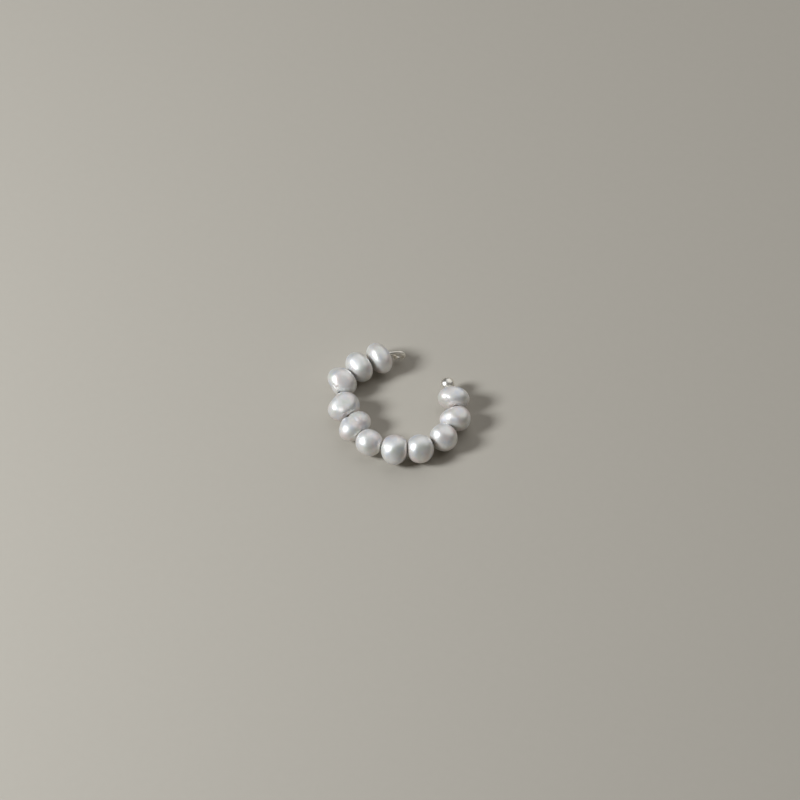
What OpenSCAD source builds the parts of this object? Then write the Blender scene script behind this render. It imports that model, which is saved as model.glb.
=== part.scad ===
// Pearl ear cuff: eleven baroque pearls on one open ring of silver wire, lying flat.
// Millimetres and degrees, +Z up. The origin is at the middle of the outline, on the table,
// and the ring opens towards +Y.

/* [Wire] */
// Diameter of the silver wire
wire_d = 0.5; // [0.4:0.05:0.6]
// Height of the wire's middle above the table
wire_z = 2.1; // [2:0.05:2.3]
// Radius of the upright eye, to the wire's middle
eye_r = 0.68; // [0.6:0.02:0.76]
// Diameter of the ball at the wire's other end
ball_d = 1.95; // [1.6:0.05:2]

/* [Pearls] */
// Diameter of the hole drilled through each pearl
hole_d = 0.95; // [0.9:0.05:1.1]
// How blunt the pearls' ends are: 2 is an ellipsoid
blunt = 2.1; // [2:0.1:2.4]
// Gap between two pearls, where both are pressed flat
pearl_gap = 0.04; // [0.04:0.01:0.1]
// Flat sides of each pearl, counted round its length
pearl_sides = 16; // [10:2:16]
// Bands of faces on each pearl, from end to end
pearl_bands = 14; // [8:2:14]

/* [Hidden] */
// The wire's bends from the eye to the ball, all to the left, which is into the ring
BEND_R = 0; // radius to the wire's middle
BEND_TURN = 1; // angle turned
first_heading = 209;
ring_bends = [
    [16, 4],
    [1.6, 20],
    [24, 12],
    [5.3, 67],
    [15, 20],
    [7.4, 138],
    [7, 30],
    [3, 19]
];
// The eye curls down and back, and its tip stops clear of the wire
eye_bend = [eye_r, 278];
// A ball, a hair thicker than the wire, joins each bend to the next, whose ends stop inside it
joint_d = wire_d + 0.01;
joint_gap = 0.01;

// One row for each pearl, from the eye to the ball
AT = 0; // distance of its middle along the wire
LONG = 1; // length along the wire
WIDE = 2; // width across the wire
TALL = 3; // height
OUT = 4; // how far its middle lies outside the wire
TILT = 5; // turn about the vertical against the wire
EGG = 6; // taper towards its outer side, as a share of its size
WAIST = 7; // depth of the groove round its middle, as a share of its size
LIFT = 8; // gap between it and the table
pearls = [
    [3.05, 3.15, 4.80, 4.30, -0.15, 3, 0, 0, 0],
    [6.24, 3.45, 4.65, 4.30, 0.12, 0, 0, 0, 0.05],
    [9.55, 3.80, 4.65, 4.10, 0.52, -22, 0, 0, 0],
    [13.65, 3.95, 4.70, 4.20, 0.15, 8, 0, 0, 0],
    [17.12, 3.70, 5.15, 3.60, 0.02, 17, 0, 0.14, 0.20],
    [20.48, 3.90, 3.75, 3.75, 0.33, 0, 0, 0, 0.10],
    [24.15, 3.95, 4.30, 4.10, 0.20, 0, 0.06, 0, 0],
    [27.60, 3.95, 4.05, 4.05, 0.25, 0, 0, 0, 0.05],
    [31.30, 3.75, 4.00, 4.05, 0.45, 0, 0, 0, 0],
    [34.78, 3.60, 4.50, 3.90, 0.20, 10, -0.05, 0.04, 0.10],
    [38.07, 3.20, 4.50, 4.05, -0.15, -18, 0, 0, 0]
];
// Makes the taper's largest share 1
egg_share = 2.6;
// Half-width of the groove, where half the pearl's width is about 1
waist_spread = 0.35;

// Dents and swellings of single pearls
OF = 0; // number of the pearl
PLAN = 1; // turn from the way the wire runs towards the inside of the ring
RISE = 2; // angle above the horizon
SIZE = 3; // height of a swelling, or depth of a dent below 0
SPREAD = 4; // angle from its middle to where it is about a third as deep
marks = [
    [2, 180, 20, -0.15, 35],
    [3, -35, -20, -0.35, 35],
    [4, 215, 15, -0.25, 30],
    [10, 55, 20, -0.35, 35],
    [10, 140, -10, 0.15, 30]
];

function pearl_name(k) = str("pearl_", k < 10 ? "0" : "", k);
$fn = 48;

// A place on the wire is [x, y, heading], and left_of is the unit step to its left
function left_of(heading) = [-sin(heading), cos(heading)];
function xy(place) = [place.x, place.y];
function bend_middle(place, bend) = xy(place) + bend[BEND_R] * left_of(place[2]);
function bend_length(bend) = bend[BEND_R] * bend[BEND_TURN] * PI / 180;
function after(place, bend) =
    let (
        heading = place[2] + bend[BEND_TURN],
        p = bend_middle(place, bend) - bend[BEND_R] * left_of(heading)
    )
    [p.x, p.y, heading];
function along(place, bends, i = 0) =
    i == len(bends) ? [place] : concat([place], along(after(place, bends[i]), bends, i + 1));

start = [0, 0, first_heading];
places = along(start, ring_bends);

// The place at a distance along the wire, with the radius of its bend
function at(distance, i = 0) =
    let (length = bend_length(ring_bends[i]), radius = ring_bends[i][BEND_R])
    distance > length
        ? at(distance - length, i + 1)
        : concat(
            after(places[i], [radius, ring_bends[i][BEND_TURN] * distance / length]),
            [radius]
        );

// Middle of a pearl in the plane. The ball comes after the last pearl.
function pearl_place(k) = at(pearls[k - 1][AT]);
function pearl_middle(k) =
    k > len(pearls)
        ? xy(places[len(ring_bends)])
        : let (place = pearl_place(k)) xy(place) - pearls[k - 1][OUT] * left_of(place[2]);
function turned(p, angle) =
    [p.x * cos(angle) - p.y * sin(angle), p.x * sin(angle) + p.y * cos(angle), p.z];

// Distance of the flat that a pearl has towards a neighbour this far away: what the ball leaves
// free, or a share that grows with the pearl's length
function flat_distance(k, other, away) =
    other > len(pearls)
        ? away - ball_d / 2 - pearl_gap
        : (away - pearl_gap) * pearls[k - 1][LONG] / (pearls[k - 1][LONG] + pearls[other - 1][LONG]);

// The flats of a pearl: the unit step towards each neighbour, as the pearl itself lies, over the
// distance of the flat
function flats_of(k) = [
    for (other = [k - 1, k + 1])
        if (other >= 1)
            let (
                step = pearl_middle(other) - pearl_middle(k),
                away = norm(step),
                lean = pearl_place(k)[2] + pearls[k - 1][TILT]
            )
            turned([step.x, step.y, 0], -lean) / away / flat_distance(k, other, away)
];
flats = [for (k = [1 : len(pearls)]) flats_of(k)];
// The higher, the sharper the edge between a flat and the rest of the skin
flat_edge = 36;

function mark_direction(mark) =
    [cos(mark[PLAN]) * cos(mark[RISE]), sin(mark[PLAN]) * cos(mark[RISE]), sin(mark[RISE])];
function bump(mark, d) =
    let (angle = acos(min(1, max(-1, d * mark_direction(mark)))))
    mark[SIZE] * exp(-pow(angle / mark[SPREAD], 2));

// Distance from a pearl's middle to its skin in the unit direction d: a blunt-ended ellipsoid
// with a taper, a groove round its middle, its own dents and swellings, and its flats
function skin(k, d) =
    let (
        pearl = pearls[k - 1],
        ends = abs(2 * d.x / pearl[LONG]),
        girth = norm([2 * d.y / pearl[WIDE], 2 * d.z / pearl[TALL]]),
        oval = 1 / pow(pow(ends, blunt) + pow(girth, blunt), 1 / blunt),
        taper = pearl[EGG] * egg_share * d.y * (1 - d.y * d.y),
        groove = pearl[WAIST] * exp(-pow(d.y / waist_spread, 2)),
        bumps = [for (mark = marks) if (mark[OF] == k) bump(mark, d)],
        free = oval * (1 + taper - groove) + (len(bumps) == 0 ? 0 : bumps * [for (b = bumps) 1]),
        pressed = [for (flat = flats[k - 1]) pow(max(0, free * (flat * d)), flat_edge)]
    )
    free / pow(1 + pressed * [for (f = pressed) 1], 1 / flat_edge);

// Points of a pearl about its own middle: one at each end and a ring of them for each band
function skin_point(k, i, j) =
    let (
        theta = 180 * i / pearl_bands,
        phi = 360 * j / pearl_sides,
        d = [cos(theta), sin(theta) * cos(phi), sin(theta) * sin(phi)]
    )
    skin(k, d) * d;
function body_points(k) = concat(
    [skin_point(k, 0, 0)],
    [for (i = [1 : pearl_bands - 1], j = [0 : pearl_sides - 1]) skin_point(k, i, j)],
    [skin_point(k, pearl_bands, 0)]
);

// The same points where the pearl sits, standing the row's lift above the table
function pearl_points(k) =
    let (
        pearl = pearls[k - 1],
        middle = pearl_middle(k),
        body = [for (p = body_points(k)) turned(p, pearl_place(k)[2] + pearl[TILT])],
        drop = pearl[LIFT] - min([for (p = body) p.z])
    )
    [for (p = body) p + [middle.x, middle.y, drop]];

// Faces of the same grid: a fan at each end and split squares between
last_point = 1 + (pearl_bands - 1) * pearl_sides;
function ring_point(i, j) = 1 + (i - 1) * pearl_sides + j % pearl_sides;
pearl_faces = concat(
    [for (j = [0 : pearl_sides - 1]) [0, ring_point(1, j + 1), ring_point(1, j)]],
    [
        for (i = [1 : pearl_bands - 2], j = [0 : pearl_sides - 1]) each [
            [ring_point(i, j), ring_point(i, j + 1), ring_point(i + 1, j)],
            [ring_point(i, j + 1), ring_point(i + 1, j + 1), ring_point(i + 1, j)]
        ]
    ],
    [
        for (j = [0 : pearl_sides - 1])
            [last_point, ring_point(pearl_bands - 1, j), ring_point(pearl_bands - 1, j + 1)]
    ]
);

// The outline that the origin is centred on: every pearl, and the far side of the eye
eye_reach = eye_r * abs(sin(first_heading)) + wire_d / 2;
outline = [for (k = [1 : len(pearls)]) each pearl_points(k)];
xs = [for (p = outline) p.x];
ys = concat([for (p = outline) p.y], [start.y + eye_reach]);
centring = -[min(xs) + max(xs), min(ys) + max(ys), 0] / 2;

// One bend of the wire, from a place in the XY plane
module bend_of_wire(place, bend) {
    middle = bend_middle(place, bend);
    trim = joint_gap / 2 / bend[BEND_R] * 180 / PI;
    translate([middle.x, middle.y, 0])
        rotate([0, 0, place[2] - 90 + trim])
            rotate_extrude(angle = bend[BEND_TURN] - 2 * trim)
                translate([bend[BEND_R], 0])
                    circle(d = wire_d);
}

// The ball's poles lie inside the wire, along the way it runs
module ball_at(place, d) {
    translate([place.x, place.y, 0]) rotate([0, 90, place[2]]) sphere(d = d);
}

module wire() {
    last = len(ring_bends) - 1;
    color("silver")
        translate(centring + [0, 0, wire_z]) {
            for (i = [0 : last]) {
                bend_of_wire(places[i], ring_bends[i]);
                ball_at(places[i], joint_d);
            }
            ball_at(places[last + 1], ball_d);
            rotate([-90, 0, first_heading + 180]) bend_of_wire([0, 0, 0], eye_bend);
        }
}

// The hole is straight, so it is set half way in to the sag of the wire's bend, over the length
// that the flats leave
module drilled_hole(k) {
    place = pearl_place(k);
    radius = place[3];
    half = 0.45 * pearls[k - 1][LONG] / cos(pearls[k - 1][TILT]);
    sag = half * half / (2 * radius);
    middle = xy(place) + sag / 2 * left_of(place[2]);
    translate([middle.x, middle.y, wire_z])
        rotate([0, 90, place[2]])
            cylinder(h = 4 * half, d = hole_d, center = true);
}

module pearl(k) {
    color([0.93, 0.91, 0.87])
        translate(centring)
            difference() {
                polyhedron(pearl_points(k), pearl_faces, convexity = 4);
                drilled_hole(k);
            }
}

wire();
for (k = [1 : len(pearls)]) pearl(k);
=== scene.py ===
"""Dresses the pearl ear cuff: eleven baroque pearls on one open ring of silver wire, lying flat.

The tables are in millimetres and degrees, as the part's own source has them, and the meshes are in
metres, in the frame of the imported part: +Z up, the origin on the table, the ring open towards +Y.
"""

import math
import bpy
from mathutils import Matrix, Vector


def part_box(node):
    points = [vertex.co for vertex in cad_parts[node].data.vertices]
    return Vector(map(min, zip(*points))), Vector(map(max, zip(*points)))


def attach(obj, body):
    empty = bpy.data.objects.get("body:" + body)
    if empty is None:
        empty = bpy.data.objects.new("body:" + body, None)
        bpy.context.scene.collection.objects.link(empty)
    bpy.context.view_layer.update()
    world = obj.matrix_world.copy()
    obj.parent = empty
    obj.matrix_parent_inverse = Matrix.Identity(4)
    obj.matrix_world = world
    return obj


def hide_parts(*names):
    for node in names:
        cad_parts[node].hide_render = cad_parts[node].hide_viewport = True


bl_info = {
    "name": "Pearl Ear Cuff",
    "version": (1, 0, 0),
    "blender": (4, 5, 0),
    "location": "3D View > Sidebar > Ear Cuff",
    "description": "Baroque pearls on an open ring of silver wire, with floor, lights and camera",
    "category": "Add Mesh",
}

from collections import namedtuple

import bpy
import numpy as np
from bpy.props import FloatProperty, FloatVectorProperty, PointerProperty
from mathutils import Vector

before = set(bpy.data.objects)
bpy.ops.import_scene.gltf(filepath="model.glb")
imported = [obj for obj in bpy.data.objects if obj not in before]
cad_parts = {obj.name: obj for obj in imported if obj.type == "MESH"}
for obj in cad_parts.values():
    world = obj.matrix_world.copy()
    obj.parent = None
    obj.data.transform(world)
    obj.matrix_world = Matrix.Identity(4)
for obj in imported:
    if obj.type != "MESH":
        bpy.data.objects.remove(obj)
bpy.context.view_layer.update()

MM = 0.001

# The wire's bends from the eye to the ball, all to the left, which is into the ring
Bend = namedtuple("Bend", "radius turn")
FIRST_HEADING = 209
RING_BENDS = (
    Bend(16, 4),
    Bend(1.6, 20),
    Bend(24, 12),
    Bend(5.3, 67),
    Bend(15, 20),
    Bend(7.4, 138),
    Bend(7, 30),
    Bend(3, 19),
)
EYE_BEND = Bend(0.68, 278)
# Height of the wire's middle above the table, and diameters of wire, ball and drilled holes
WIRE_Z = 2.1
WIRE_D = 0.5
BALL_D = 1.95
HOLE_D = 0.95

# One row for each pearl from the eye to the ball: distance of its middle along the wire, length
# along the wire, width, height, how far its middle lies outside the wire, turn against the wire,
# taper and groove as shares of its size, and gap between it and the table
Pearl = namedtuple("Pearl", "at long wide tall out tilt egg waist lift")
PEARLS = (
    Pearl(3.05, 3.15, 4.80, 4.30, -0.15, 3, 0, 0, 0),
    Pearl(6.24, 3.45, 4.65, 4.30, 0.12, 0, 0, 0, 0.05),
    Pearl(9.55, 3.80, 4.65, 4.10, 0.52, -22, 0, 0, 0),
    Pearl(13.65, 3.95, 4.70, 4.20, 0.15, 8, 0, 0, 0),
    Pearl(17.12, 3.70, 5.15, 3.60, 0.02, 17, 0, 0.14, 0.20),
    Pearl(20.48, 3.90, 3.75, 3.75, 0.33, 0, 0, 0, 0.10),
    Pearl(24.15, 3.95, 4.30, 4.10, 0.20, 0, 0.06, 0, 0),
    Pearl(27.60, 3.95, 4.05, 4.05, 0.25, 0, 0, 0, 0.05),
    Pearl(31.30, 3.75, 4.00, 4.05, 0.45, 0, 0, 0, 0),
    Pearl(34.78, 3.60, 4.50, 3.90, 0.20, 10, -0.05, 0.04, 0.10),
    Pearl(38.07, 3.20, 4.50, 4.05, -0.15, -18, 0, 0, 0),
)
# Power of the blunt ovals, strength of a taper, spread of a groove, gap between two flats and
# sharpness of their border, and the sides and bands of the source's own coarse grid
BLUNT = 2.1
EGG_SHARE = 2.6
WAIST_SPREAD = 0.35
SOURCE_GAP = 0.04
FLAT_EDGE = 36
SOURCE_SIDES = 16
SOURCE_BANDS = 14

# Dents and swellings of single pearls: turn from the way the wire runs towards the inside of the
# ring, angle above the horizon, height (a dent is below 0), and the angle that it spreads over
Mark = namedtuple("Mark", "of plan rise size spread")
SOURCE_MARKS = (
    Mark(2, 180, 20, -0.15, 35),
    Mark(3, -35, -20, -0.35, 35),
    Mark(4, 215, 15, -0.25, 30),
    Mark(10, 55, 20, -0.35, 35),
    Mark(10, 140, -10, 0.15, 30),
)


# Numbers and colours


def linear(hex_colour):
    """The linear red, green and blue of an sRGB hex colour."""
    parts = [int(hex_colour[i : i + 2], 16) / 255 for i in (1, 3, 5)]
    return tuple(c / 12.92 if c <= 0.04045 else ((c + 0.055) / 1.055) ** 2.4 for c in parts)


def unit(v):
    """The vectors at length 1."""
    return v / np.linalg.norm(v, axis=-1, keepdims=True)


def smooth(x, low, high):
    """0 below low and 1 above high, with an S-shaped rise between."""
    t = np.clip((x - low) / (high - low), 0, 1)
    return t * t * (3 - 2 * t)


def root(f, low, high, steps=28):
    """Where f, below 0 at low and above 0 at high, crosses 0, by halving the interval."""
    for _ in range(steps):
        middle = (low + high) / 2
        inside = f(middle) < 0
        low, high = np.where(inside, middle, low), np.where(inside, high, middle)
    return (low + high) / 2


# The wire's path


def left_of(heading):
    """The unit step to the left of a heading in radians, in the XY plane."""
    return np.stack([-np.sin(heading), np.cos(heading)], axis=-1)


def wire_places(distance):
    """Place, heading and bend radius at distances along the ring.

    The ring is a chain of arcs. On an arc the heading grows by distance over radius, and the place
    is the arc's middle less the radius times the step to the left of the heading.
    """
    distance = np.asarray(distance, float)
    place = np.zeros(distance.shape + (2,))
    heading = np.zeros(distance.shape)
    radius = np.zeros(distance.shape)
    start, start_heading, passed = np.zeros(2), math.radians(FIRST_HEADING), 0.0
    for i, bend in enumerate(RING_BENDS):
        length = bend.radius * math.radians(bend.turn)
        last = i == len(RING_BENDS) - 1
        here = (distance >= passed) & ((distance < passed + length) | last)
        middle = start + bend.radius * left_of(start_heading)
        turned = start_heading + (distance - passed) / bend.radius
        place[here] = (middle - bend.radius * left_of(turned))[here]
        heading[here] = turned[here]
        radius[here] = bend.radius
        end_heading = start_heading + math.radians(bend.turn)
        start = middle - bend.radius * left_of(end_heading)
        start_heading, passed = end_heading, passed + length
    return place, heading, radius


RING_LENGTH = sum(bend.radius * math.radians(bend.turn) for bend in RING_BENDS)


# The pearls' skins


def pearl_middle(number):
    """Middle of a pearl in the plane: its place on the wire less its step out.

    The number after the last pearl's is the ball's.
    """
    if number > len(PEARLS):
        return wire_places(RING_LENGTH)[0]
    pearl = PEARLS[number - 1]
    place, heading, _ = wire_places(pearl.at)
    return place - pearl.out * left_of(heading)


def lean_of(number):
    """Turn of a pearl's own X axis about the vertical, in radians."""
    pearl = PEARLS[number - 1]
    return float(wire_places(pearl.at)[1]) + math.radians(pearl.tilt)


def flats_of(number, gap):
    """For each neighbour, the unit step to it, as the pearl itself lies, over the flat's distance.

    Two pearls share what the gap leaves between their middles by their lengths, and the last pearl
    has what the ball leaves free.
    """
    own = PEARLS[number - 1].long
    flats = []
    for other in (number - 1, number + 1):
        if other < 1:
            continue
        step = pearl_middle(other) - pearl_middle(number)
        away = math.hypot(*step)
        if other > len(PEARLS):
            distance = away - BALL_D / 2 - gap
        else:
            distance = (away - gap) * own / (own + PEARLS[other - 1].long)
        flats.append(turn(np.array([*step, 0.0]), -lean_of(number)) / away / distance)
    return flats


def free_skin(number, d):
    """Distance from a pearl's middle to its skin in the unit directions d, before its flats.

    A blunt-ended ellipsoid, 1 / (ends^b + girth^b)^(1/b), times 1 plus a taper of y (1 - y^2) less
    a groove round its middle, plus a bell-shaped swelling or dent for each mark.
    """
    pearl = PEARLS[number - 1]
    ends = np.abs(2 * d[..., 0] / pearl.long)
    girth = np.hypot(2 * d[..., 1] / pearl.wide, 2 * d[..., 2] / pearl.tall)
    oval = (ends**BLUNT + girth**BLUNT) ** (-1 / BLUNT)
    y = d[..., 1]
    taper = pearl.egg * EGG_SHARE * y * (1 - y * y)
    groove = pearl.waist * np.exp(-((y / WAIST_SPREAD) ** 2))
    return oval * (1 + taper - groove) + bells(marks_of(SOURCE_MARKS, number), d)


def press(free, flats, d, edge=FLAT_EDGE):
    """A skin pressed flat in places: free / (1 + sum of (free * flat . d)^edge)^(1/edge).

    A flat is the unit step to it over its distance, and a greater edge makes its border sharper.
    """
    pressed = sum(np.maximum(0, free * (d @ flat)) ** edge for flat in flats)
    return free / (1 + pressed) ** (1 / edge)


def bells(marks, d):
    """Sum of size * exp(-(angle / spread)^2) over the marks, for the unit directions d."""
    total = np.zeros(d.shape[:-1])
    for mark in marks:
        angle = np.degrees(np.arccos(np.clip(d @ direction(mark.plan, mark.rise), -1, 1)))
        total += mark.size * np.exp(-((angle / mark.spread) ** 2))
    return total


def direction(plan, rise):
    """The unit vector turned by plan in the XY plane and lifted by rise, both in degrees."""
    plan, rise = math.radians(plan), math.radians(rise)
    return np.array(
        [math.cos(plan) * math.cos(rise), math.sin(plan) * math.cos(rise), math.sin(rise)]
    )


def turn(p, angle):
    """The points turned about the vertical by an angle in radians."""
    c, s = math.cos(angle), math.sin(angle)
    x, y, z = p[..., 0], p[..., 1], p[..., 2]
    return np.stack([x * c - y * s, x * s + y * c, z], axis=-1)


def marks_of(table, number):
    """The rows of a table that are of this pearl."""
    return [mark for mark in table if mark.of == number]


def source_points(number):
    """The source's coarse grid of points on a pearl, and the pearl's middle.

    A point is skin times direction, turned, and the lowest of them lies at the pearl's lift.
    """
    pearl = PEARLS[number - 1]
    theta, phi = np.meshgrid(
        np.linspace(0, math.pi, SOURCE_BANDS + 1),
        np.arange(SOURCE_SIDES) * 2 * math.pi / SOURCE_SIDES,
        indexing="ij",
    )
    d = np.stack([np.cos(theta), np.sin(theta) * np.cos(phi), np.sin(theta) * np.sin(phi)], axis=-1)
    skin = press(free_skin(number, d), flats_of(number, SOURCE_GAP), d)
    body = turn(skin[..., None] * d, lean_of(number))
    middle = np.array([*pearl_middle(number), pearl.lift - body[..., 2].min()])
    return body + middle, middle


def find_centring():
    """The step that puts the middle of the pearls' and the eye's outline on the origin."""
    points = np.concatenate([source_points(k + 1)[0].reshape(-1, 3) for k in range(len(PEARLS))])
    eye_reach = EYE_BEND.radius * abs(math.sin(math.radians(FIRST_HEADING))) + WIRE_D / 2
    x, y = points[:, 0], np.append(points[:, 1], eye_reach)
    return -np.array([x.min() + x.max(), y.min() + y.max(), 0]) / 2


CENTRING = find_centring()


# The fine shape of the pearls

# Rows and columns of a pearl's grid
PEARL_COLUMNS = 160
SKIN_ROWS = 150
RIM_ROWS = 8
WALL_ROWS = 12
# Between these lie a ray's length to the skin, and a mouth's angle to the hole's axis
RAY_LIMITS = (0.2, 6.0)
MOUTH_LIMITS = (0.02, 1.3)
# Half the hole's length, as a share of the pearl's, where the flats have shortened it
HOLE_SHARE = 0.45
# Width of skin round a mouth over which the relief fades out
FADE = 0.5

# Border of the flats between two pearls, softer than in the source
SOFT_EDGE = 19

# Faces that the pearls grew with: the direction they face, and how far the skin is cut back there
Face = namedtuple("Face", "of plan rise off")
FACES = (
    Face(1, 75, 70, 0.06),
    Face(1, 80, 5, 0.06),
    Face(2, 18, 71, 0.16),
    Face(2, 60, 5, 0.08),
    Face(3, 45, 62, 0.14),
    Face(4, 20, 80, 0.10),
    Face(4, 60, 20, 0.08),
    Face(4, -58, 70, 0.10),
    Face(6, -30, 60, 0.05),
    Face(6, -35, 20, 0.04),
    Face(7, -170, 70, 0.06),
    Face(7, -60, 45, 0.04),
    Face(7, -100, 30, 0.06),
    Face(8, -95, 45, 0.02),
    Face(9, -60, 75, 0.06),
    Face(9, -140, 45, 0.06),
    Face(10, -100, 75, 0.08),
    Face(10, 130, 45, 0.02),
    Face(11, -150, 80, 0.10),
    Face(11, 105, 68, 0.07),
)
FACE_EDGE = 14

# Wrinkles: each runs from one direction to another on its pearl, with its depth and half-width
Fold = namedtuple("Fold", "of plan_a rise_a plan_b rise_b depth width")
FOLDS = (
    Fold(2, -5, 14, 12, -14, 0.08, 5),
    Fold(3, 0, 32, 22, 22, 0.07, 4),
    Fold(3, 25, 34, 50, 24, 0.09, 4),
    Fold(3, -5, 15, 30, 8, 0.06, 4),
    Fold(5, -5, 20, 0, 85, 0.09, 17),
    Fold(11, 140, 45, 175, 28, 0.06, 5),
)

# Dents and swellings that the source leaves out
FINE_MARKS = (
    Mark(3, 31, 10, 0.15, 20),
    Mark(4, 175, 40, 0.10, 18),
    Mark(4, -12, 24, 0.32, 24),
    Mark(4, -75, 36, 0.08, 16),
    Mark(5, -165, 35, 0.25, 22),
    Mark(5, -38, 18, 0.32, 10),
    Mark(5, -102, 34, 0.05, 15),
    Mark(9, 115, 45, 0.10, 18),
    Mark(10, 137, 45, 0.08, 17),
    Mark(11, 172, 15, 0.12, 20),
)

# Seeded swellings and hollows: how many on a pearl, their greatest height, and the least and
# greatest angle that they spread over
Lumps = namedtuple("Lumps", "count size low high")
LUMPS = (Lumps(10, 0.030, 25, 45), Lumps(60, 0.008, 8, 15), Lumps(14, 0.008, 3.5, 6))
# What rises above this is cut off, and the rest lies lower by it, so that nothing leaves the
# source's form
HIGHEST = 0.03
# Growth bands: height, steps between them, how far they sway, how often and how unevenly, and how
# often they come and go round the pearl
BAND_SIZE = 0.0025
BAND_STEPS = (0.36, 0.23)
BAND_SWAY = 0.25
SWAY_RATE = 2.2
SWAY_SPREAD = 0.5
SHOWN_RATE = 3
# Phases are drawn between these, in radians, and a pearl's number is added to the seed
PHASES = (0, 6)
SEED = 900


# Meshes


def add_mesh(name, grid, closed_rows, own=None):
    """A mesh of a grid of points in millimetres, closed round its columns.

    Point (i, j) is joined to (i + 1, j) and (i, j + 1) by one four-sided face. Rows close into a
    ring too where closed_rows is set, and otherwise each end is closed by a fan to its middle. The
    faces are turned outwards, by the sign of the volume: the sum over triangles of a . (b x c) / 6.
    The places about a pearl's own middle go into the attribute own, for its pattern to follow.
    """
    rows, columns = grid.shape[:2]
    index = np.arange(rows * columns).reshape(rows, columns)
    if closed_rows:
        index_a, index_b = index, np.roll(index, -1, axis=0)
    else:
        index_a, index_b = index[:-1], index[1:]
    quads = np.stack(
        [index_a, index_b, np.roll(index_b, -1, axis=1), np.roll(index_a, -1, axis=1)], axis=-1
    ).reshape(-1, 4)
    points = grid.reshape(-1, 3)
    fans = np.zeros((0, 3), int)
    if not closed_rows:
        first, last = len(points), len(points) + 1
        points = np.concatenate([points, grid[:1].mean(axis=1), grid[-1:].mean(axis=1)])
        top, bottom = index[0], index[-1]
        fans = np.concatenate(
            [
                np.stack([np.full(columns, first), top, np.roll(top, -1)], axis=-1),
                np.stack([np.roll(bottom, -1), bottom, np.full(columns, last)], axis=-1),
            ]
        )
    a, b, c, d = (points[quads[:, i]] for i in range(4))
    volume = np.einsum("ij,ij->", a, np.cross(b, c)) + np.einsum("ij,ij->", a, np.cross(c, d))
    if volume < 0:
        quads, fans = quads[:, ::-1], fans[:, ::-1]
    loops = np.concatenate([quads.ravel(), fans.ravel()])
    sizes = np.concatenate([np.full(len(quads), 4), np.full(len(fans), 3)])
    mesh = bpy.data.meshes.new(name)
    mesh.vertices.add(len(points))
    mesh.vertices.foreach_set("co", (points * MM).astype(np.float32).ravel())
    mesh.loops.add(len(loops))
    mesh.loops.foreach_set("vertex_index", loops.astype(np.int32))
    mesh.polygons.add(len(sizes))
    mesh.polygons.foreach_set("loop_start", (np.cumsum(sizes) - sizes).astype(np.int32))
    mesh.polygons.foreach_set("loop_total", sizes.astype(np.int32))
    mesh.update(calc_edges=True)
    mesh.validate()
    mesh.shade_smooth()
    if own is not None:
        layer = mesh.attributes.new("own", "FLOAT_VECTOR", "POINT")
        layer.data.foreach_set("vector", own.astype(np.float32).ravel())
    piece = bpy.data.objects.new(name, mesh)
    bpy.context.scene.collection.objects.link(piece)
    return piece


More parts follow.
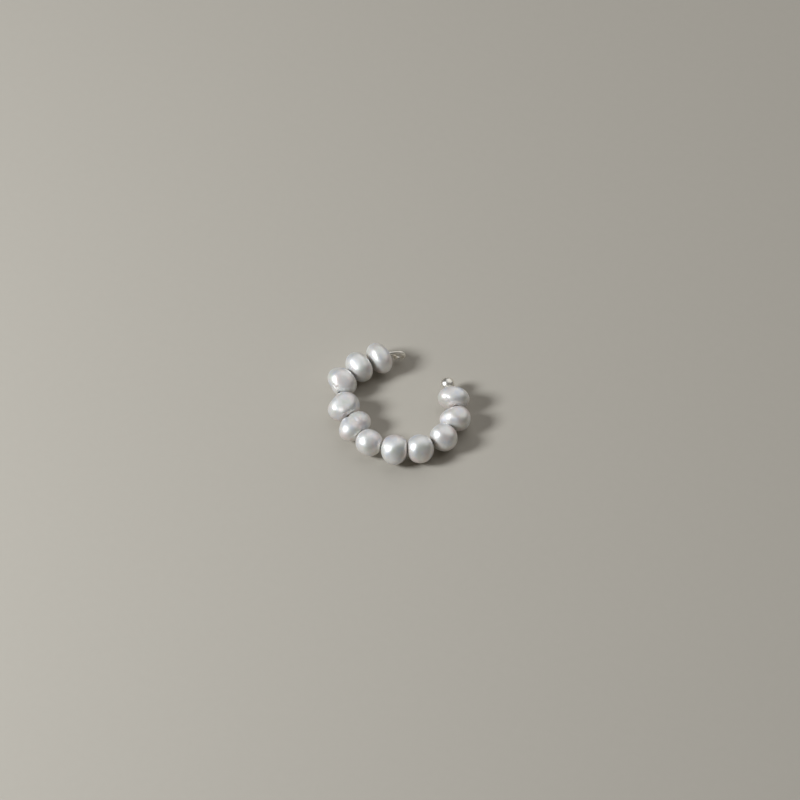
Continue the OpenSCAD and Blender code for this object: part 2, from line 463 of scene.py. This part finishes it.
def pearl_surface(number, hole_radius, gap, rim):
    """Grid of a drilled pearl, and of each point's place about the pearl's own middle.

    Columns go round the hole. Rows run along the hole's wall, round the rim of one mouth, over the
    skin and round the other rim. A skin point is where a ray from the middle of the hole, at an
    angle to its axis, meets the skin. A rim is a curve from wall to skin, bent towards the sharp
    corner that the two would make.
    """
    pearl = PEARLS[number - 1]
    flats = flats_of(number, gap)
    place, heading, radius = wire_places(pearl.at)
    heading, radius = float(heading), float(radius)
    middle, lean = source_points(number)[1], lean_of(number)
    axis = np.array([math.cos(heading), math.sin(heading), 0.0])
    side = np.array([-math.sin(heading), math.cos(heading), 0.0])
    half = HOLE_SHARE * pearl.long / math.cos(math.radians(pearl.tilt))
    sag = half * half / (2 * radius)
    centre = np.array([*(place + sag / 2 * left_of(heading)), WIRE_Z])
    v = np.arange(PEARL_COLUMNS) * 2 * math.pi / PEARL_COLUMNS
    out = np.cos(v)[:, None] * side + np.sin(v)[:, None] * [0, 0, 1]

    def about_middle(p):
        """Unit directions, as the pearl lies, and distances of points from its middle."""
        p = turn(p - middle, -lean)
        size = np.linalg.norm(p, axis=-1)
        return p / size[..., None], size

    def reach(alpha):
        """Length of the rays at the angles alpha to the axis."""
        ray = np.cos(alpha)[..., None] * axis + np.sin(alpha)[..., None] * out

        def beyond(t):
            """How far a point at the length t along its ray lies outside the skin."""
            d, size = about_middle(centre + t[..., None] * ray)
            return size - press(free_skin(number, d), flats, d)

        return root(beyond, *(np.full(alpha.shape, limit) for limit in RAY_LIMITS))

    def mouth(distance, end):
        """Angle at which the skin is this far from the axis, near the end +1 or -1."""
        near = root(
            lambda a: reach(a if end > 0 else math.pi - a) * np.sin(a) - distance,
            *(np.full(PEARL_COLUMNS, limit) for limit in MOUTH_LIMITS),
        )
        return near if end > 0 else math.pi - near

    def points(alpha):
        """Places on the skin at the angles alpha to the axis."""
        ray = np.cos(alpha)[..., None] * axis + np.sin(alpha)[..., None] * out
        return centre + reach(alpha)[..., None] * ray

    rim_edge = {end: mouth(hole_radius + rim, end) for end in (1, -1)}

    def rim_curve(end):
        """From wall to skin: (1 - t)^2 wall + 2 t (1 - t) corner + t^2 skin."""
        corner = points(mouth(hole_radius, end))
        wall = corner - end * rim * axis
        skin = points(rim_edge[end])
        t = np.linspace(0, 1, RIM_ROWS)[:, None, None]
        return (1 - t) ** 2 * wall + 2 * t * (1 - t) * corner + t * t * skin

    first, last = rim_curve(1), rim_curve(-1)[::-1]
    share = np.linspace(0, 1, SKIN_ROWS)[1:-1, None]
    skin = points((1 - share) * rim_edge[1] + share * rim_edge[-1])
    share = np.linspace(0, 1, WALL_ROWS)[1:-1, None, None]
    wall = (1 - share) * last[-1] + share * first[0]

    # The relief fades out towards the mouths, where the skin has to meet the rims
    from_axis = np.linalg.norm(np.cross(skin - centre, axis), axis=-1)
    fade = smooth(from_axis, hole_radius + rim, hole_radius + rim + FADE)
    d, _ = about_middle(skin)
    free = free_skin(number, d)
    skin = press(free + relief(number, d, free) * fade, flats, d, SOFT_EDGE)[..., None] * d
    grid = np.concatenate([first, turn(skin, lean) + middle, last, wall])
    return grid + CENTRING, turn(grid - middle, -lean)


def relief(number, d, free):
    """How far the skin stands off the source's own form, in millimetres, never far outwards.

    Seeded bell-shaped swellings and hollows, plus growth bands, two sines of the distance along the
    pearl's width over the band steps, which come and go round the pearl. Then come the pearl's own
    faces, pressed as the flats are, its folds and its fine marks.
    """
    pearl = PEARLS[number - 1]
    draw = np.random.default_rng(SEED + number)
    total = np.zeros(d.shape[:-1])
    for lumps in LUMPS:
        to = unit(draw.normal(size=(lumps.count, 3)))
        height = lumps.size * draw.uniform(-1, 1, lumps.count)
        spread = np.radians(draw.uniform(lumps.low, lumps.high, lumps.count))
        for one_to, one_height, one_spread in zip(to, height, spread):
            angle = np.arccos(np.clip(d @ one_to, -1, 1))
            total += one_height * np.exp(-((angle / one_spread) ** 2))
    sway = draw.normal(size=3) * SWAY_SPREAD
    swayed = np.sin(SWAY_RATE * d @ sway + draw.uniform(*PHASES))
    along = d[..., 1] * pearl.wide / 2 + BAND_SWAY * swayed
    wave = np.sin(SHOWN_RATE * d @ unit(draw.normal(size=3)) + draw.uniform(*PHASES))
    shown = 0.5 + 0.5 * wave
    total += BAND_SIZE * shown * sum(np.sin(2 * math.pi * along / step) for step in BAND_STEPS)
    total = np.minimum(total, HIGHEST) - HIGHEST
    total += bells(marks_of(FINE_MARKS, number), d)
    cuts = []
    for face in marks_of(FACES, number):
        step = direction(face.plan, face.rise)
        cuts.append(step / (free_skin(number, step) - face.off))
    total += press(free, cuts, d, FACE_EDGE) - free
    for fold in marks_of(FOLDS, number):
        a, b = direction(fold.plan_a, fold.rise_a), direction(fold.plan_b, fold.rise_b)
        share = np.clip(((d - a) @ (b - a)) / ((b - a) @ (b - a)), 0, 1)
        nearest = unit(a + share[..., None] * (b - a))
        angle = np.degrees(np.arccos(np.clip((d * nearest).sum(axis=-1), -1, 1)))
        total -= fold.depth * np.exp(-((angle / fold.width) ** 2))
    return total


# Rows and columns of the wire's and the ball's grids
TIP_ROWS = 10
EYE_ROWS = 110
RING_ROWS = 560
WIRE_COLUMNS = 32
BALL_ROWS = 90
BALL_COLUMNS = 96
# Angle of the tip's first row, in radians, and of the ball's last, where a fan closes them
TIP_START = 0.12
POLE_END = 0.02
# Radius at which the ball starts, as a share of the wire's, so that its open side is in the wire
BALL_START = 0.9


def wire_surface(wire_radius):
    """Grid of the eye and the ring: a circle carried along the path, drawn in to a round tip.

    The eye is an arc in the vertical plane of the first heading: along R sin a, down R (1 - cos a).
    A point is the path plus r (cos v * left + sin v * up). Near the tip r = sqrt(w^2 - (w - s)^2),
    where s is the distance from the tip and w the wire's radius.
    """
    first = math.radians(FIRST_HEADING)
    back = np.array([-math.cos(first), -math.sin(first), 0.0])
    arc = EYE_BEND.radius * math.radians(EYE_BEND.turn)
    tip = wire_radius * (1 - np.cos(np.linspace(TIP_START, math.pi / 2, TIP_ROWS)))
    s = np.concatenate([tip, np.linspace(wire_radius, arc, EYE_ROWS)[1:-1]])
    a = (arc - s) / EYE_BEND.radius
    eye = np.sin(a)[:, None] * EYE_BEND.radius * back
    eye[:, 2] -= EYE_BEND.radius * (1 - np.cos(a))
    eye_along = -(np.cos(a)[:, None] * back - np.sin(a)[:, None] * [0, 0, 1])
    ring_s = np.linspace(0, RING_LENGTH, RING_ROWS)
    place, heading, _ = wire_places(ring_s)
    ring = np.column_stack([place, np.zeros(len(place))])
    ring_along = np.column_stack([np.cos(heading), np.sin(heading), np.zeros(len(place))])
    path = np.concatenate([eye, ring]) + CENTRING + [0, 0, WIRE_Z]
    along = np.concatenate([eye_along, ring_along])
    eye_left = np.tile([*left_of(first), 0.0], (len(eye), 1))
    ring_left = np.column_stack([left_of(heading), np.zeros(len(place))])
    left = np.concatenate([eye_left, ring_left])
    up = np.cross(along, left)
    run = np.concatenate([s, arc + ring_s])
    near = np.clip(run, 0, wire_radius)
    thick = np.sqrt(wire_radius**2 - (wire_radius - near) ** 2)
    v = np.arange(WIRE_COLUMNS) * 2 * math.pi / WIRE_COLUMNS
    out = np.cos(v)[None, :, None] * left[:, None] + np.sin(v)[None, :, None] * up[:, None]
    return path[:, None] + thick[:, None, None] * out


def ball_surface(ball_radius, wire_radius):
    """Grid of the ball: a half circle turned about the wire's last heading.

    At the angle t from the pole on the wire's side, a point lies -R cos t along the heading and
    R sin t away from it. The first row lies inside the wire, and the last round the far pole.
    """
    place, heading, _ = wire_places(RING_LENGTH)
    heading = float(heading)
    axis = np.array([math.cos(heading), math.sin(heading), 0.0])
    side = np.array([-math.sin(heading), math.cos(heading), 0.0])
    start = math.asin(wire_radius * BALL_START / ball_radius)
    t = np.linspace(start, math.pi - POLE_END, BALL_ROWS)
    x, r = -ball_radius * np.cos(t), ball_radius * np.sin(t)
    v = np.arange(BALL_COLUMNS) * 2 * math.pi / BALL_COLUMNS
    out = np.cos(v)[:, None] * side + np.sin(v)[:, None] * [0, 0, 1]
    centre = np.array([*place, WIRE_Z]) + CENTRING
    return centre + x[:, None, None] * axis + r[:, None, None] * out


# Materials


def node(tree, kind, settings=None, inputs=None, stops=None):
    """Adds a node with its settings, its sockets' values or links, and a ramp's stops."""
    made = tree.nodes.new(kind)
    for key, value in (settings or {}).items():
        setattr(made, key, value)
    for key, value in (inputs or {}).items():
        if isinstance(value, bpy.types.NodeSocket):
            tree.links.new(value, made.inputs[key])
        else:
            made.inputs[key].default_value = value
    if stops:
        ramp = made.color_ramp.elements
        while len(ramp) < len(stops):
            ramp.new(1.0)
        for element, (place, colour) in zip(ramp, stops):
            element.position = place
            element.color = (*colour, 1.0)
    return made


# Sockets of a Mix node that is set to colours: share, first and second colour, and result
MIX_SHARE, MIX_FIRST, MIX_SECOND, MIX_RESULT = 0, 6, 7, 2
# Nearly all of a noise's values lie between these
NOISE_SPAN = {"From Min": 0.3, "From Max": 0.7}


def new_material(name):
    """An empty node material, and its node tree."""
    made = bpy.data.materials.new(name)
    made.use_nodes = True
    made.node_tree.nodes.clear()
    return made, made.node_tree


# How far apart the patterns of two pearls and of two clouds lie, in millimetres, and how far the
# noise rises across the edge of a cloud
PEARL_STEP = 30.0
CLOUD_STEP = 90
CLOUD_EDGE = 0.24


def nacre(finish):
    """Freshwater nacre: stacked plates of aragonite, grown and tumbled, not cut.

    To the eye it is white with faint clouds of rose, green-grey and blue-grey, and a soft wide
    gleam under a sharper one.
    """
    made, tree = new_material("freshwater_nacre")
    own = node(tree, "ShaderNodeAttribute", {"attribute_name": "own"}).outputs["Vector"]
    # Clouds of overtone, 2, 1.7 and 1.2 mm across, each of them laid over the one before and moved
    # away from it, so that their patterns differ
    body = (*finish.nacre, 1)
    clouds = ((0.5, 0.44, finish.rose), (0.6, 0.5, finish.green), (0.8, 0.5, finish.blue))
    for scale, start, tone in clouds:
        moved = node(
            tree,
            "ShaderNodeMapping",
            None,
            {"Vector": own, "Location": (0, 0, CLOUD_STEP * scale)},
        )
        cloud = node(
            tree,
            "ShaderNodeTexNoise",
            None,
            {"Vector": moved.outputs["Vector"], "Scale": scale, "Detail": 2.0},
        )
        share = node(
            tree,
            "ShaderNodeMapRange",
            None,
            {"Value": cloud.outputs["Fac"], "From Min": start, "From Max": start + CLOUD_EDGE},
        )
        laid = node(
            tree,
            "ShaderNodeMix",
            {"data_type": "RGBA"},
            {MIX_SHARE: share.outputs["Result"], MIX_FIRST: body, MIX_SECOND: (*tone, 1)},
        )
        body = laid.outputs[MIX_RESULT]
    # Plates and tumbling marks of about 0.1 mm, drawn as coarse as they show
    grain = node(tree, "ShaderNodeTexNoise", None, {"Vector": own, "Scale": 7.0, "Detail": 3.0})
    rough = node(
        tree,
        "ShaderNodeMapRange",
        None,
        {"Value": grain.outputs["Fac"], **NOISE_SPAN, "To Min": 0.44, "To Max": 0.52},
    )
    bump = node(
        tree,
        "ShaderNodeBump",
        None,
        {"Height": grain.outputs["Fac"], "Strength": 0.12, "Distance": 0.00003},
    )
    shader = node(
        tree,
        "ShaderNodeBsdfPrincipled",
        {"subsurface_method": "RANDOM_WALK"},
        {
            "Base Color": body,
            "Roughness": rough.outputs["Result"],
            "Normal": bump.outputs["Normal"],
            "IOR": 1.7,
            "Metallic": 0.55,
            "Subsurface Weight": 0.3,
            "Subsurface Radius": (1.0, 0.85, 0.7),
            "Subsurface Scale": 0.0003,
            "Coat Weight": 0.25,
            "Coat Roughness": 0.16,
            "Coat IOR": 1.55,
        },
    )
    node(tree, "ShaderNodeOutputMaterial", None, {"Surface": shader.outputs["BSDF"]})
    return made


def silver(finish):
    """Sterling silver wire, drawn, bent and rubbed up by hand.

    To the eye it is a warm white metal, finely scuffed, with a thin brown tarnish in patches.
    """
    made, tree = new_material("drawn_sterling_silver")
    place = node(tree, "ShaderNodeTexCoord").outputs["Object"]
    # Patches of tarnish about 1.4 mm across
    worn = node(tree, "ShaderNodeTexNoise", None, {"Vector": place, "Scale": 700.0, "Detail": 4.0})
    colour = node(
        tree,
        "ShaderNodeValToRGB",
        None,
        {"Fac": worn.outputs["Fac"]},
        [(0.35, finish.tarnish), (0.55, finish.silver)],
    )
    rough = node(
        tree,
        "ShaderNodeMapRange",
        None,
        {"Value": worn.outputs["Fac"], **NOISE_SPAN, "To Min": 0.47, "To Max": 0.30},
    )
    # Scuffs of a few hundredths of a millimetre, drawn at 0.2 mm, as coarse as they show
    fine = node(tree, "ShaderNodeTexNoise", None, {"Vector": place, "Scale": 5000.0, "Detail": 2.0})
    bump = node(
        tree,
        "ShaderNodeBump",
        None,
        {"Height": fine.outputs["Fac"], "Strength": 0.15, "Distance": 0.00002},
    )
    shader = node(
        tree,
        "ShaderNodeBsdfPrincipled",
        None,
        {
            "Base Color": colour.outputs["Color"],
            "Metallic": 1.0,
            "Roughness": rough.outputs["Result"],
            "Normal": bump.outputs["Normal"],
        },
    )
    node(tree, "ShaderNodeOutputMaterial", None, {"Surface": shader.outputs["BSDF"]})
    return made


# How dark the floor's fibres are against the card
FIBRE_SHADE = 0.97


def floor_board(finish):
    """Matt pale card: even to the eye, with a faint mottle of its fibres."""
    made, tree = new_material("matt_pale_card")
    place = node(tree, "ShaderNodeTexCoord").outputs["Object"]
    # Fibres in tufts of about 1.1 mm
    noise = {"Vector": place, "Scale": 900.0, "Detail": 3.0}
    mottle = node(tree, "ShaderNodeTexNoise", None, noise)
    pale = (*finish.floor, 1)
    shaded = (*(c * FIBRE_SHADE for c in finish.floor), 1)
    colour = node(
        tree,
        "ShaderNodeMix",
        {"data_type": "RGBA"},
        {MIX_SHARE: mottle.outputs["Fac"], MIX_FIRST: pale, MIX_SECOND: shaded},
    )
    shader = node(
        tree,
        "ShaderNodeBsdfPrincipled",
        None,
        {"Base Color": colour.outputs[MIX_RESULT], "Roughness": 0.9, "Specular IOR Level": 0.2},
    )
    node(tree, "ShaderNodeOutputMaterial", None, {"Surface": shader.outputs["BSDF"]})
    return made


# What a user would change


class EarCuffSizes(bpy.types.PropertyGroup):
    """Sizes of the wire and of what is drilled and left between the pearls"""

    wire: FloatProperty(
        name="Wire", description="Diameter of the silver wire", default=WIRE_D * MM,
        min=0.0003, max=0.0006, precision=5, unit="LENGTH", subtype="DISTANCE",
    )
    ball: FloatProperty(
        name="Ball", description="Diameter of the ball at the wire's end", default=BALL_D * MM,
        min=0.001, max=0.002, precision=5, unit="LENGTH", subtype="DISTANCE",
    )
    hole: FloatProperty(
        name="Hole", description="Diameter of the hole drilled through each pearl",
        default=HOLE_D * MM, min=0.0009, max=0.0011, precision=5, unit="LENGTH",
        subtype="DISTANCE",
    )
    gap: FloatProperty(
        name="Gap", description="Gap between the flats of two pearls", default=0.00001,
        min=0.000005, max=0.0001, precision=6, unit="LENGTH", subtype="DISTANCE",
    )
    rim: FloatProperty(
        name="Rim", description="Width of the rounded edge of a drilled hole", default=0.00007,
        min=0.00002, max=0.0002, precision=5, unit="LENGTH", subtype="DISTANCE",
    )


class EarCuffFinish(bpy.types.PropertyGroup):
    """Colours of the pearls, the silver and the floor"""

    nacre: FloatVectorProperty(
        name="Nacre", description="Body colour of the pearls", default=linear("#EFEEEB"),
        min=0, max=1, subtype="COLOR",
    )
    rose: FloatVectorProperty(
        name="Rose", description="Pink overtone of the pearls", default=linear("#EADFDB"),
        min=0, max=1, subtype="COLOR",
    )
    green: FloatVectorProperty(
        name="Green", description="Green-grey overtone of the pearls", default=linear("#DEE1D8"),
        min=0, max=1, subtype="COLOR",
    )
    blue: FloatVectorProperty(
        name="Blue", description="Blue-grey overtone of the pearls", default=linear("#DCDFE7"),
        min=0, max=1, subtype="COLOR",
    )
    silver: FloatVectorProperty(
        name="Silver", description="Colour of the rubbed silver", default=linear("#FBF8F1"),
        min=0, max=1, subtype="COLOR",
    )
    tarnish: FloatVectorProperty(
        name="Tarnish", description="Colour of the tarnish on the silver",
        default=linear("#EDE6D8"), min=0, max=1, subtype="COLOR",
    )
    floor: FloatVectorProperty(
        name="Floor", description="Colour of the pale floor", default=linear("#BDB7AC"),
        min=0, max=1, subtype="COLOR",
    )


class EarCuffStage(bpy.types.PropertyGroup):
    """Strengths of the lights"""

    key: FloatProperty(
        name="Key light", description="Power of the small soft light at the left", default=1.5,
        min=0, unit="POWER",
    )
    top: FloatProperty(
        name="Top light", description="Power of the large soft light behind and above", default=3.4,
        min=0, unit="POWER",
    )
    sky: FloatProperty(
        name="Surroundings", description="Strength of the even light from all round", default=0.08,
        min=0, max=3, subtype="FACTOR",
    )


# The stage

CAMERA_AZIMUTH = 27
CAMERA_ELEVATION = 56
CAMERA_DISTANCE = 420
PIXELS_OF_FOCUS = 3000
FRAME_PIXELS = 800
SENSOR = 36
CLIP = (0.01, 10)
# The point of the part in the middle of the photograph, before centring
LOOK_AT = (3.757, -7.064, 2.0)

# Lights: disc, colour, way to them as shares right, up and ahead of the view, and how far away.
# These and the floor are in metres.
Light = namedtuple("Light", "size colour right up ahead away")
LEFT_LIGHT = Light(0.12, (0.92, 0.96, 1), -0.78, 0.6, -0.18, 0.4)
TOP_LIGHT = Light(1.3, (0.97, 0.985, 1), 0.4, 0.7, 0.55, 0.8)
LIT_POINT = (0, 0, 0.002)
SKY_COLOUR = (1, 0.92, 0.82, 1)
FLOOR_HALF = 1.5


def aim(thing, place, at):
    """Puts a light or camera at a place, looking at a point, both in metres."""
    place, at = Vector(place), Vector(at)
    thing.location = place
    thing.rotation_euler = (at - place).to_track_quat("-Z", "Y").to_euler()


def add_light(name, power, light, right, ahead):
    """A round soft light. The way to it is the view's right, up and ahead, each times its share."""
    data = bpy.data.lights.new(name, "AREA")
    data.shape, data.energy, data.color = "DISK", power, light.colour
    data.size = light.size
    made = bpy.data.objects.new(name, data)
    bpy.context.scene.collection.objects.link(made)
    way = (light.right * right + light.up * Vector((0, 0, 1)) + light.ahead * ahead).normalized()
    aim(made, Vector(LIT_POINT) + way * light.away, LIT_POINT)


# Operators

# How far a dressed pearl's box may be off its node's, in millimetres
MOST_OFF = 0.25


def dress(piece, material, nodes):
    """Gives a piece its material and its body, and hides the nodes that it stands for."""
    piece.data.materials.append(material)
    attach(piece, "root")
    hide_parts(*nodes)


class EARCUFF_OT_pearls(bpy.types.Operator):
    """Make the eleven drilled baroque pearls"""

    bl_idname = "ear_cuff.pearls"
    bl_label = "Pearls"

    def execute(self, context):
        sizes, finish = context.scene.ear_cuff_sizes, context.scene.ear_cuff_finish
        material = nacre(finish)
        for number in range(1, len(PEARLS) + 1):
            node_name = f"pearl_{number:02d}"
            grid, own = pearl_surface(number, sizes.hole / MM / 2, sizes.gap / MM, sizes.rim / MM)
            piece = add_mesh(f"baroque_{node_name}", grid, True, own + PEARL_STEP * number)
            dress(piece, material, [node_name])
            low, high = (np.array(corner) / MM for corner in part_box(node_name))
            flat = grid.reshape(-1, 3)
            gap = max(np.abs(flat.min(axis=0) - low).max(), np.abs(flat.max(axis=0) - high).max())
            if gap > MOST_OFF:
                raise RuntimeError(f"{node_name} is {gap:.2f} mm off the packed part")
        return {"FINISHED"}


class EARCUFF_OT_wire(bpy.types.Operator):
    """Make the ring of silver wire with its upright eye"""

    bl_idname = "ear_cuff.wire"
    bl_label = "Wire"

    def execute(self, context):
        sizes, finish = context.scene.ear_cuff_sizes, context.scene.ear_cuff_finish
        piece = add_mesh("silver_wire", wire_surface(sizes.wire / MM / 2), False)
        dress(piece, silver(finish), ["wire"])
        return {"FINISHED"}


class EARCUFF_OT_ball(bpy.types.Operator):
    """Make the ball at the wire's end"""

    bl_idname = "ear_cuff.ball"
    bl_label = "Ball"

    def execute(self, context):
        sizes = context.scene.ear_cuff_sizes
        grid = ball_surface(sizes.ball / MM / 2, sizes.wire / MM / 2)
        piece = add_mesh("silver_ball", grid, False)
        # The ball is melted from the wire, so the wire comes first and lends its silver
        dress(piece, bpy.data.materials["drawn_sterling_silver"], ["wire"])
        return {"FINISHED"}


class EARCUFF_OT_stage(bpy.types.Operator):
    """Make the pale floor, the soft lights and the camera"""

    bl_idname = "ear_cuff.stage"
    bl_label = "Stage"

    def execute(self, context):
        scene = context.scene
        stage, finish = scene.ear_cuff_stage, scene.ear_cuff_finish
        mesh = bpy.data.meshes.new("pale_floor")
        corners = ((-1, -1), (1, -1), (1, 1), (-1, 1))
        points = [(x * FLOOR_HALF, y * FLOOR_HALF, 0) for x, y in corners]
        mesh.from_pydata(points, [], [(0, 1, 2, 3)])
        floor = bpy.data.objects.new("pale_floor", mesh)
        scene.collection.objects.link(floor)
        floor.data.materials.append(floor_board(finish))

        az, el = math.radians(CAMERA_AZIMUTH), math.radians(CAMERA_ELEVATION)
        right = Vector((math.cos(az), math.sin(az), 0))
        ahead = Vector((-math.sin(az), math.cos(az), 0))
        view = ahead * math.cos(el) - Vector((0, 0, 1)) * math.sin(el)
        target = Vector([(a + b) * MM for a, b in zip(LOOK_AT, CENTRING)])
        camera = bpy.data.objects.new("photo_camera", bpy.data.cameras.new("photo_camera"))
        scene.collection.objects.link(camera)
        camera.data.sensor_width = SENSOR
        camera.data.lens = PIXELS_OF_FOCUS / FRAME_PIXELS * SENSOR
        camera.data.clip_start, camera.data.clip_end = CLIP
        aim(camera, target - view * CAMERA_DISTANCE * MM, target)
        scene.camera = camera

        add_light("left_softbox", stage.key, LEFT_LIGHT, right, ahead)
        add_light("top_softbox", stage.top, TOP_LIGHT, right, ahead)

        world = bpy.data.worlds.new("even_surroundings")
        scene.world = world
        world.use_nodes = True
        tree = world.node_tree
        tree.nodes.clear()
        sky = node(tree, "ShaderNodeBackground", None, {"Color": SKY_COLOUR, "Strength": stage.sky})
        node(tree, "ShaderNodeOutputWorld", None, {"Surface": sky.outputs["Background"]})
        scene.view_settings.view_transform = "Standard"
        return {"FINISHED"}


class EARCUFF_PT_sidebar(bpy.types.Panel):
    """Everything that a user would change, and a button for each operator"""

    bl_idname = "EARCUFF_PT_sidebar"
    bl_label = "Pearl Ear Cuff"
    bl_space_type = "VIEW_3D"
    bl_region_type = "UI"
    bl_category = "Ear Cuff"

    def draw(self, context):
        scene = context.scene
        for group in (scene.ear_cuff_sizes, scene.ear_cuff_finish, scene.ear_cuff_stage):
            box = self.layout.box()
            for key in group.__annotations__:
                box.prop(group, key)
        for operator in OPERATORS:
            self.layout.operator(operator.bl_idname)


GROUPS = {
    "ear_cuff_sizes": EarCuffSizes,
    "ear_cuff_finish": EarCuffFinish,
    "ear_cuff_stage": EarCuffStage,
}
OPERATORS = (EARCUFF_OT_wire, EARCUFF_OT_ball, EARCUFF_OT_pearls, EARCUFF_OT_stage)
CLASSES = (*GROUPS.values(), *OPERATORS, EARCUFF_PT_sidebar)


def register():
    """Makes the classes and the scene's three groups of properties known."""
    for one in CLASSES:
        bpy.utils.register_class(one)
    for key, group in GROUPS.items():
        setattr(bpy.types.Scene, key, PointerProperty(type=group))


def unregister():
    """Takes back what register made known, in the opposite order."""
    for key in GROUPS:
        delattr(bpy.types.Scene, key)
    for one in reversed(CLASSES):
        bpy.utils.unregister_class(one)


def main():
    register()
    bpy.ops.ear_cuff.wire()
    bpy.ops.ear_cuff.ball()
    bpy.ops.ear_cuff.pearls()
    bpy.ops.ear_cuff.stage()


if __name__ == "__main__":
    main()
